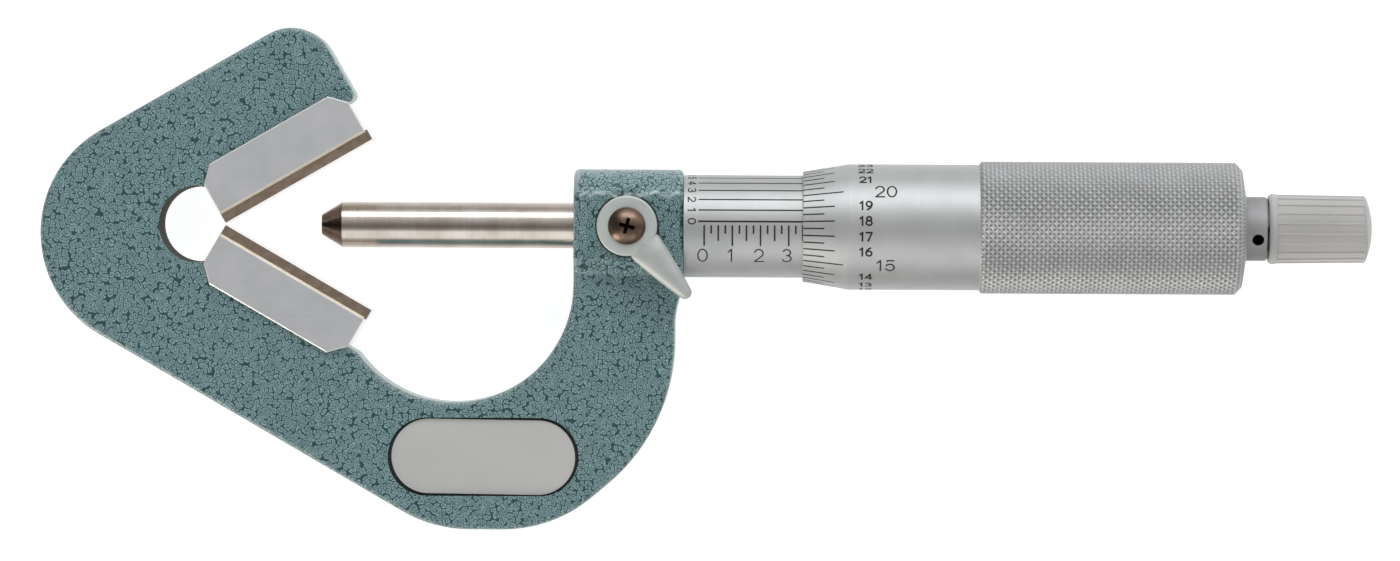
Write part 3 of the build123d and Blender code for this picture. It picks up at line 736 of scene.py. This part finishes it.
def inkStrip(path, width, lift, sink, v):
    # A closed strip along a flat path: every point moves half the width to each side along the
    # path's normal, the two ends draw in to a rounded tip, and the section is a low box.
    path = np.asarray(path, float)
    run = np.concatenate([[0.0], np.cumsum(np.linalg.norm(np.diff(path, axis=0), axis=1))])
    even = np.linspace(0, run[-1], max(2, int(run[-1] / v["stride"])))
    spots = np.unique(np.concatenate([run, even]).round(5))
    path = np.stack([np.interp(spots, run, path[:, 0]), np.interp(spots, run, path[:, 1])], 1)
    step = np.diff(path, axis=0)
    step /= np.linalg.norm(step, axis=1)[:, None]
    heading = np.vstack([step[:1], step[:-1] + step[1:], step[-1:]])
    heading /= np.linalg.norm(heading, axis=1)[:, None]
    tips = np.array(v["tipPlaces"])[:, None] * width / 2
    start = path[0] + (tips - width / 2) * heading[0]
    end = path[-1] - (tips[::-1] - width / 2) * heading[-1]
    line = np.vstack([start, path[1:-1], end])
    count, ends = len(line), len(tips)
    heads = np.vstack([
        np.repeat(heading[:1], ends, 0), heading[1:-1], np.repeat(heading[-1:], ends, 0)])
    half = np.full(count, width / 2)
    half[:ends] = half[-ends:][::-1] = np.array(v["tipWidths"]) * width / 2
    side = np.stack([-heads[:, 1], heads[:, 0]], 1) * half[:, None]
    rim = np.stack([line - side, line + side, line + side, line - side], 1)
    height = np.broadcast_to(np.array([lift, lift, -sink, -sink])[None, :, None], (count, 4, 1))
    points = np.concatenate([rim, height], 2).reshape(-1, 3)
    walls = gridFaces(count, 4)[:, [0, 3, 2, 1]]
    last = 4 * count - 1
    return points, np.vstack([walls, [[0, 1, 2, 3], [last, last - 1, last - 2, last - 3]]])


def joinStrips(strips):
    # stacks strips into one list of points and faces
    sizes = np.cumsum([0] + [len(p) for p, _ in strips[:-1]])
    faces = np.vstack([f + s for (_, f), s in zip(strips, sizes)])
    return np.vstack([p for p, _ in strips]), faces


def numeral(text, centre, height, width, turnDown=False, stretch=1.0, v=engraving):
    # strokes of a number centred on a point; turned down, its top points along +x
    paths = []
    pen = 0.0
    for digit in text:
        wide, shift = (v["narrow"], v["narrowShift"]) if digit == "1" else (v["wide"], 0)
        paths += [(s - (shift, 0)) * (stretch, 1) + (pen, 0) for s in strokes[digit]]
        pen += (wide + v["gap"]) * stretch
    middle = np.array([(pen - v["gap"] * stretch) / 2, 0.5])
    paths = [(s - middle) * height for s in paths]
    if turnDown:
        paths = [np.stack([s[:, 1], -s[:, 0]], 1) for s in paths]
    return [(s + centre, width) for s in paths]


def engrave(name, marks, radiusAt, roundRadius, sink):
    # marks on a flat sheet (x, y, lift) bent round X: y becomes an angle, and lift stands off
    # the surface
    strips = [inkStrip(path, width, engraving["lift"], sink, engraving) for path, width in marks]
    points, faces = joinStrips(strips)
    radius = radiusAt(points[:, 0]) + points[:, 2]
    bent = aroundX(points[:, 0], radius, points[:, 1] / roundRadius)
    return makeMesh(name, bent, faces, "fillingLacquer", np.ones(len(faces), bool))


sleeveScale = {
    "radius": 6.95,
    "index": 5.5,  # degrees from the front towards +Y
    "pitch": 0.9525,
    "zeroX": 65.12,
    "lineStart": 64.4,
    "lineWidth": 0.19,
    "indexWide": 1.25,  # width of the index line in lines
    "endGap": 0.5,  # from the lines' end to the sleeve's
    "tickGap": 1.0,  # from the last tick at least to the lines' end
    "tickTop": -0.6,  # mm round the sleeve from the index
    "tickLong": -3.28,
    "tickMiddle": -2.56,
    "tickShort": -1.57,
    "tickCount": 81,
    "tickWidth": 0.23,
    "tickPoints": 5,
    "numberShift": -0.2,
    "numberY": -4.88,
    "numberHeight": 1.98,
    "numberWidth": 0.19,
    "numberStretch": 0.88,
    "vernierLines": 11,
    "vernierStep": 12.96,
    "vernierX": 63.45,
    "vernierHeight": 1.0,
    "vernierWidth": 0.17,
    "sink": 0.05,
}


def makeSleeveScale(v):
    # The index line, the ten-thousandths lines above it and the ticks and numbers below it
    r = v["radius"]
    index = math.radians(v["index"]) * r
    marks = []
    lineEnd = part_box("scale_sleeve")[1].x / mm - v["endGap"]
    for k in range(v["vernierLines"]):
        y = index + math.radians(v["vernierStep"]) * r * k
        width = v["lineWidth"] * (v["indexWide"] if k == 0 else 1.0)
        marks.append((lines((v["lineStart"], y), (lineEnd, y))[0], width))
        marks += numeral(str(k % 10), (v["vernierX"], y), v["vernierHeight"], v["vernierWidth"],
                         turnDown=True)
    tickX = v["zeroX"] + v["pitch"] * np.arange(v["tickCount"])
    for k, x in enumerate(tickX[tickX < lineEnd - v["tickGap"]]):
        low = v["tickLong"] if k % 4 == 0 else v["tickMiddle"] if k % 2 == 0 else v["tickShort"]
        y = np.linspace(index + v["tickTop"], index + low, v["tickPoints"])
        marks.append((np.stack([np.full(len(y), x), y], 1), v["tickWidth"]))
        if k % 4 == 0:
            marks += numeral(str(k // 4), (x + v["numberShift"], index + v["numberY"]),
                             v["numberHeight"], v["numberWidth"], stretch=v["numberStretch"])
    piece = engrave("sleeveScale", marks, lambda x: np.full(len(x), r), r, v["sink"])
    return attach(piece, "sleeve_body")


thimbleScale = {
    "lines": 25,
    "atIndex": 18,
    "start": 0.12,  # mm from the thimble's edge
    "half": 2.8,
    "unit": 4.2,
    "five": 5.38,
    "width": 0.2,
    "small": (8.5, 1.14, 0.25),  # place, height and line width of numbers
    "large": (11.2, 1.68, 0.22),
    "sink": 0.06,
}


def makeThimbleScale(v, t, s):
    # Fifty lines round the cone and their numbers; the line at the index is set by the reading
    x0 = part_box("thimble")[0].x / mm
    r = t["radius"]
    marks = []
    for k in range(2 * v["lines"]):
        y = math.radians(s["index"] + (k / 2 - v["atIndex"]) * 360 / v["lines"]) * r
        end = v["half"] if k % 2 else v["five"] if k % 10 == 0 else v["unit"]
        marks.append((lines((x0 + v["start"], y), (x0 + end, y))[0], v["width"]))
        if k % 2 == 0:
            x, height, width = v["large"] if k % 10 == 0 else v["small"]
            marks += numeral(str(k // 2), (x0 + x, y), height, width)
    slope = (t["radius"] - t["edgeRadius"]) / t["coneLength"]
    piece = engrave("thimbleScale", marks, lambda x: np.minimum(
        t["edgeRadius"] + slope * (x - x0), t["radius"]), r, v["sink"])
    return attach(piece, "thimble_body")


lever = {
    "angle": -48.6,
    "discRadius": 4.085,
    "bore": 1.95,
    "bottom": 6.725,
    "top": 8.575,
    "edgeRound": 0.3,
    "discColumns": 96,
    "rootAt": 2.64,  # along the arm from the screw's middle
    "rootHalf": 1.25,
    "flareAt": 3.5,
    "flareHalf": 2.36,
    "tipAt": 11.9,
    "tipRadius": 0.93,
    "belly": 1.4,  # over 1 the arm's sides bulge before they draw in
    "crown": 0.43,  # of the arm above the disc
    "rootSink": 0.06,  # of the arm's root into the disc
    "rise": 2.6,  # length over which the crown rises
    "droopAt": 8.0,
    "droop": 0.2,
    "side": 7.95,  # height at which the arm is widest
    "underside": 7.34,
    "tipShare": 0.35,  # of its thickness that the arm keeps to the end
    "sectionPowers": (0.9, 1.15, 0.45),  # of a section across, above and below
    "armColumns": 40,
    "bodyRows": 46,
    "tipRows": 12,
    "tipTurn": 86.0,  # degrees of its circle that the tip's rows follow
    "risePowers": (1.3, 0.3),
    "discCrease": 30.0,
    "armCrease": 50.0,
}


def leverPiece(piece):
    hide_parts("lock_lever")
    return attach(piece, "lever_body")


def makeLeverDisc(v):
    # A ring turned about the lever's upright axis: its profile runs round the section, with the top
    # edge a quarter circle
    t = np.radians(np.linspace(0, 90, 7))
    r, e = v["discRadius"], v["edgeRound"]
    outer = np.stack([r - e + e * np.cos(t), v["top"] - e + e * np.sin(t)], 1)
    profile = np.vstack([
        [(v["bore"], v["bottom"]), (r, v["bottom"])], outer, [(v["bore"], v["top"])]])
    columns = v["discColumns"]
    turn = 2 * np.pi * np.arange(columns) / columns
    x, y = lockX + profile[:, :1] * np.cos(turn), profile[:, :1] * np.sin(turn)
    points = np.stack([x, y, np.repeat(profile[:, 1:], columns, 1)], -1).reshape(-1, 3)
    faces = gridFaces(len(profile), columns, closedRows=True)
    return leverPiece(makeMesh("leverDisc", points, faces, "satinCastLever", crease=v["discCrease"]))


def makeLeverArm(v):
    # A loft along the arm: half width runs from the root through the flare to the tip, where it
    # follows a circle. A section is a dome over its widest line and a flatter curve under it.
    body = np.linspace(v["rootAt"], v["tipAt"], v["bodyRows"])
    lean = np.radians(np.linspace(0, v["tipTurn"], v["tipRows"]))[1:]
    along = np.concatenate([body, v["tipAt"] + v["tipRadius"] * np.sin(lean)])
    flare = np.clip((along - v["rootAt"]) / (v["flareAt"] - v["rootAt"]), 0, 1)
    way = np.clip((along - v["flareAt"]) / (v["tipAt"] - v["flareAt"]), 0, 1)
    straight = v["flareHalf"] + (v["tipRadius"] - v["flareHalf"]) * way ** v["belly"]
    opening = v["rootHalf"] + (v["flareHalf"] - v["rootHalf"]) * flare ** 2
    half = np.where(along < v["flareAt"], opening, straight)
    past = np.clip((along - v["tipAt"]) / v["tipRadius"], 0, 1)
    shrink = np.sqrt(1 - past ** 2)
    half = np.where(along > v["tipAt"], v["tipRadius"] * shrink, half)
    rise = np.clip((along - v["rootAt"]) / v["rise"], 0, 1)
    first, second = v["risePowers"]
    lifted = (v["crown"] + v["rootSink"]) * rise ** first * (2 - rise) ** second
    crown = v["top"] - v["rootSink"] + lifted
    droopLength = v["tipAt"] + v["tipRadius"] - v["droopAt"]
    droop = np.clip((along - v["droopAt"]) / droopLength, 0, 1) ** 2 * v["droop"]
    kept = v["tipShare"] + (1 - v["tipShare"]) * shrink
    up = (crown - droop - v["side"]) * kept
    down = (v["side"] - v["underside"]) * kept
    columns = v["armColumns"]
    turn = 2 * np.pi * np.arange(columns) / columns
    wide, above, below = v["sectionPowers"]
    across, high = np.cos(turn), np.sin(turn)
    y = half[:, None] * np.sign(across) * np.abs(across) ** wide
    dome = up[:, None] * np.abs(high) ** above
    z = v["side"] + np.where(high > 0, dome, -down[:, None] * np.abs(high) ** below)
    tilt = math.radians(v["angle"])
    x = np.repeat(along[:, None], columns, 1)
    rings = np.stack([lockX + x * math.cos(tilt) - y * math.sin(tilt),
                      x * math.sin(tilt) + y * math.cos(tilt), z], -1)
    points, faces = cappedTube(rings)
    return leverPiece(makeMesh("leverArm", points, faces, "satinCastArmShaded", crease=v["armCrease"]))


braze = {
    "start": 0.35,
    "end": 22.85,
    "height": 1.5,  # of the strip, out of the V face
    "face": 4.6,  # the strip's side, from the frame's middle
    "leg": 0.2,
    "sunk": 0.03,  # of a leg that lies inside the solids
    "wobble": 0.008,
    "waves": ((2.1, 0), (5.3, 1), (9.7, 2)),  # turn by the mm and start of each
    "rows": 160,
}


def makeBraze(v):
    # A fillet of braze in the corner of each block and strip: a hollow quarter circle carried along
    # the joint, its legs waving a little as sine waves of three lengths
    along = np.linspace(v["start"], v["end"], v["rows"])
    waves = sum(np.sin(along * turn + start) for turn, start in v["waves"])
    leg = (1 + v["wobble"] / v["leg"] * waves / 1.5)[:, None] * v["leg"]
    t = np.radians(np.linspace(0, 90, 6))[1:-1]
    out = np.array([v["sunk"], -1, *(np.sin(t) - 1), 0, v["sunk"]])
    lift = np.array([-v["sunk"], 0, *(1 - np.cos(t)), 1, 1])
    strips = []
    for side in (1, -1):
        for front in (1, -1):
            x, y = armPlace(along[:, None] + 0 * out, v["height"] + leg * out, side)
            rings = np.stack([x, y, front * (v["face"] + leg * lift)], -1)
            points, faces = cappedTube(rings)
            strips.append((points, faces if side * front < 0 else faces[:, ::-1]))
    points, faces = joinStrips(strips)
    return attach(makeMesh("brazeFillets", points, faces, "silverBraze"), "frame_body")


knob = {
    "ridges": 20,
    "ridgeAt": 9.0,  # degrees from the front towards +Y
    "land": 0.7,  # half width of a ridge's top, in degrees
    "flank": 1.7,
    "depth": 0.14,
    "columns": 24,  # mesh columns to one flute
    "flangeRadius": 4.8,
    "flangeLength": 1.0,
    "bevel": 0.35,
    "shoulder": 0.2,
    "rootRadius": 4.735,
    "endRadius": 4.575,
    "edge": 0.55,
    "dome": 0.75,
    "fluteEnd": 1.3,  # from the knob's end
    "fadeIn": 0.06,
    "fadeOut": 0.15,
    "bore": 3.31,
    "boreEdge": 0.15,
    "endWall": 2.4,
    "floorRing": 0.4,  # radius of the first ring on the bore's floor
    "crease": 28.0,
}


def smoothStep(share):
    return share * share * (3 - 2 * share)


def makeKnob(v):
    # A profile turned about X from the bore's floor, round the outside to the dome's middle. Off a
    # ridge's top the radius drops by the depth along a smooth step one flank wide, and that fades
    # at both ends of the flutes.
    low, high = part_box("ratchet_knob")
    x0, length = low.x / mm, (high.x - low.x) / mm
    foot = length - v["dome"] - v["edge"]
    chord = v["endRadius"] - v["edge"]
    domeRadius = (chord ** 2 + v["dome"] ** 2) / (2 * v["dome"])
    fluted = length - v["fluteEnd"] - v["flangeLength"]
    side = np.concatenate([[0, 0.03, 0.06, 0.2], np.linspace(0.5, fluted - 0.05, 9),
                           fluted + v["fadeOut"] * np.array([0.0, 0.35, 0.7, 1.0])])
    side = side[side < foot - v["flangeLength"] - 0.01] + v["flangeLength"]
    taper = (v["endRadius"] - v["rootRadius"]) / (foot - v["flangeLength"])
    corner = np.linspace(0, 1, 9)
    lean = np.linspace(np.arcsin(chord / domeRadius), 0.02, 8)[1:]
    floorX, bevel, flangeR = length - v["endWall"], v["bevel"], v["flangeRadius"]
    flange = [(floorX, v["floorRing"]), (floorX, v["bore"]), (v["boreEdge"], v["bore"]),
              (0, v["bore"] + v["boreEdge"]), (0, flangeR - bevel),
              (bevel * 0.5, flangeR - bevel * 0.35), (bevel, flangeR),
              (v["flangeLength"] - v["shoulder"], flangeR)]
    profile = np.vstack([
        flange,
        np.stack([side, v["rootRadius"] + taper * (side - v["flangeLength"])], 1),
        np.stack([foot + v["edge"] * corner, chord + v["edge"] * np.sqrt(1 - corner ** 2)], 1),
        np.stack([length - domeRadius * (1 - np.cos(lean)), domeRadius * np.sin(lean)], 1)])
    turn = np.arange(v["ridges"] * v["columns"]) / v["columns"]
    fromRidge = (0.5 - np.abs((turn % 1) - 0.5)) * 360 / v["ridges"]
    flute = smoothStep(np.clip((fromRidge - v["land"]) / v["flank"], 0, 1))
    x = profile[:, 0]
    fade = np.clip((x - v["flangeLength"]) / v["fadeIn"], 0, 1)
    fade = fade * np.clip((length - v["fluteEnd"] - x) / v["fadeOut"] + 1, 0, 1)
    fade = np.where(np.arange(len(profile)) >= len(flange), smoothStep(fade), 0)
    radius = profile[:, 1:] - v["depth"] * fade[:, None] * flute
    angle = math.radians(v["ridgeAt"]) + 2 * np.pi * turn / v["ridges"]
    ends = np.array([(x0 + floorX, 0, 0), (x0 + length, 0, 0)])
    # the profile runs the other way than the tube's faces are wound
    points, faces = cappedTube(aroundX(x[:, None] + x0, radius, angle), ends, inward=True)
    piece = makeMesh("flutedKnob", points, faces, "mouldedPlastic", crease=v["crease"])
    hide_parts("ratchet_knob")
    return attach(piece, "knob_body")


makeKnob(knob)
print("knob made")
makeLeverDisc(lever)
makeLeverArm(lever)
makeBraze(braze)
print("lever and braze made")
makeSleeveScale(sleeveScale)
makeThimbleScale(thimbleScale, thimble, sleeveScale)
print("scales made")

studio = {
    "camera": (72.0, 0.0, 920.0),
    "target": (64.5, -7.35, 0.0),
    "roll": 0.28,
    "viewWidth": 190.55,  # mm across the picture at the spindle's height
    "sensor": 36.0,
    "reach": 20.0,  # metres that the camera sees
    "distance": 1.0,  # of the lamps, in metres
    "length": 1.3,
    # degrees from overhead towards +Y, width and power
    "boxes": {"key": (55.0, 0.4, 4.55), "fill": (-52.0, 0.8, 2.0)},
    "sparkPower": 4.0,
    "sparkSize": 0.3,
    "sparkColour": (1.0, 0.93, 0.84),
    "sparkWay": (-0.7, -0.7, 0.2),
    # the room's grey by the turn from overhead, towards -Y below 0 and towards +Y above it
    "room": [(-180, "#ffffff"), (-140, "#f4f4f5"), (-120, "#c4c4c3"), (-108, "#82807f"),
             (-100, "#4e4b4a"), (-88, "#4e4b4a"), (-78, "#bcbdbe"), (-30, "#b8babb"),
             (-18, "#8c8a89"), (-8, "#706c6a"), (7, "#949290"), (22, "#babbbb"),
             (40, "#dcdee0"), (76, "#dcdee0"), (92, "#a8a6a5"), (117, "#dcdddd"),
             (150, "#ffffff"), (180, "#ffffff")],
    "farWall": 0.12,  # how much of that is left towards the V's end of the room
    "farRange": (-0.78, -0.4),
    "floor": ("#a8a8a6", "#b0b0ae"),
    "floorGlow": 0.87,
    "floorHalf": 3000.0,
}


def addLamp(name, power, place, turn, **settings):
    light = bpy.data.lights.new(name, "AREA")
    light.energy = power
    for key, value in settings.items():
        setattr(light, key, value)
    lamp = bpy.data.objects.new(name, light)
    lamp.location = place
    lamp.rotation_euler = turn
    scene.collection.objects.link(lamp)


def makeStudio(v):
    # A camera above, nearly square to the frame, a long soft box on either side and a pale floor
    data = bpy.data.cameras.new("camera")
    camera = bpy.data.objects.new("camera", data)
    camera.location = [c * mm for c in v["camera"]]
    x, y, z = [(c - t) * mm for c, t in zip(v["camera"], v["target"])]
    camera.rotation_euler = (-math.atan2(y, z), math.atan2(x, z), math.radians(v["roll"]))
    data.sensor_width = v["sensor"]
    data.lens = v["sensor"] * v["camera"][2] / v["viewWidth"]
    data.clip_end = v["reach"]
    scene.collection.objects.link(camera)
    scene.camera = camera
    for name, (angle, width, power) in v["boxes"].items():
        turn = math.radians(angle)
        place = Vector((0, math.sin(turn), math.cos(turn))) * v["distance"]
        place.x = v["camera"][0] * mm
        addLamp(name, power, place, (-turn, 0, 0), shape="RECTANGLE", size=v["length"],
                size_y=width)
    way = Vector(v["sparkWay"]).normalized()
    addLamp("spark", v["sparkPower"], Vector(v["target"]) * mm + way * v["distance"],
            way.to_track_quat("Z", "Y").to_euler(), size=v["sparkSize"], color=v["sparkColour"])

    world = bpy.data.worlds.new("studioWorld")
    world.use_nodes = True
    tree = world.node_tree
    x, y, z = axes(tree, addNode(tree, "ShaderNodeTexCoord").outputs["Generated"])
    share = remap(tree, maths(tree, "ARCTAN2", y, z), -math.pi, math.pi, 0.0, 1.0)
    walls = ramped(tree, share, [((a + 180) / 360, c) for a, c in v["room"]])
    far = remap(tree, x, *v["farRange"], v["farWall"], 1.0, smooth=True)
    tree.links.new(scaled(tree, walls, far), tree.nodes["Background"].inputs["Color"])
    scene.world = world

    # Pale paper under it all, bright by itself so that no shadow darkens the ground
    tree, shader, place = newLook("paleFloor")
    dark, light = v["floor"]
    fillInputs(tree, shader, {
        "Base Color": ramped(tree, noise(tree, place, 300.0, 2.0), [(0.3, dark), (0.7, light)]),
        "Roughness": 0.8,
        "Emission Color": (1, 1, 1, 1),
        "Emission Strength": v["floorGlow"]})
    half, level = v["floorHalf"], cadBox[0][2] / mm
    corners = [(x * half, y * half, level) for x, y in ((-1, -1), (1, -1), (1, 1), (-1, 1))]
    floor = makeMesh("floor", corners, np.array([[0, 1, 2, 3]]), "paleFloor")
    floor.visible_glossy = False  # bright metal mirrors the room, not this endless floor


makeStudio(studio)
scene.view_settings.view_transform = "Standard"
print("studio set")
